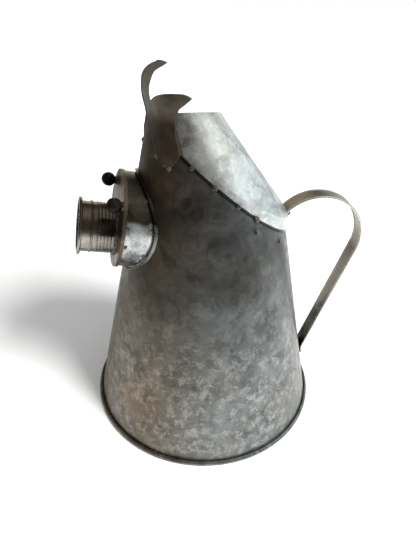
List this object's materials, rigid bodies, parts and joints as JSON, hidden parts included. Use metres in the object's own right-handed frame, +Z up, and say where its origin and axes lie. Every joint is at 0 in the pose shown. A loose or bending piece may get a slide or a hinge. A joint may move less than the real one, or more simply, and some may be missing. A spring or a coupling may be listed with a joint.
{
  "type": "pouring jug",
  "caption": "Conical galvanised sheet jug with a slanted hooded mouth, strap handle and an applied animal face: drum, ribbed neck, ball eyes and two horn petals.",
  "frame": {"origin": "middle of the foot, on the underside of the flat bottom", "axes": "+Z up, +X towards the handle, -X towards the animal face"},
  "size_m": [0.223, 0.2002, 0.2718],
  "materials": {
    "body_zinc": "mottled galvanised",
    "hood_zinc": "bright spangled galvanised",
    "horn_zinc": "smooth dark galvanised",
    "handle_tin": "satin tinned strip",
    "drum_zinc": "streaky galvanised",
    "lid_zinc": "dull galvanised",
    "neck_tin": "bright tinned",
    "solder": "dark dull solder",
    "steel_wire": "plain steel",
    "eye_black": "gloss black"
  },
  "bodies": {
    "root": {"base_plate": "body_zinc", "base_wire": "steel_wire", "body_seam": "body_zinc", "body_shell": "body_zinc", "eye_left": "eye_black", "eye_nuts": "steel_wire", "eye_right": "eye_black", "eye_screws": "steel_wire", "eye_washers": "steel_wire", "face_drum": "drum_zinc", "face_plate": "lid_zinc", "face_solder_spots": "solder", "handle_foot_solder": "solder", "handle_strap": "handle_tin", "handle_top_solder": "solder", "hood": "hood_zinc", "hood_solder_tacks": "solder", "horn_left": "horn_zinc", "horn_right": "horn_zinc", "horn_solder_spots": "solder", "neck": "neck_tin", "neck_root_bead": "solder"}
  },
  "joints": []
}
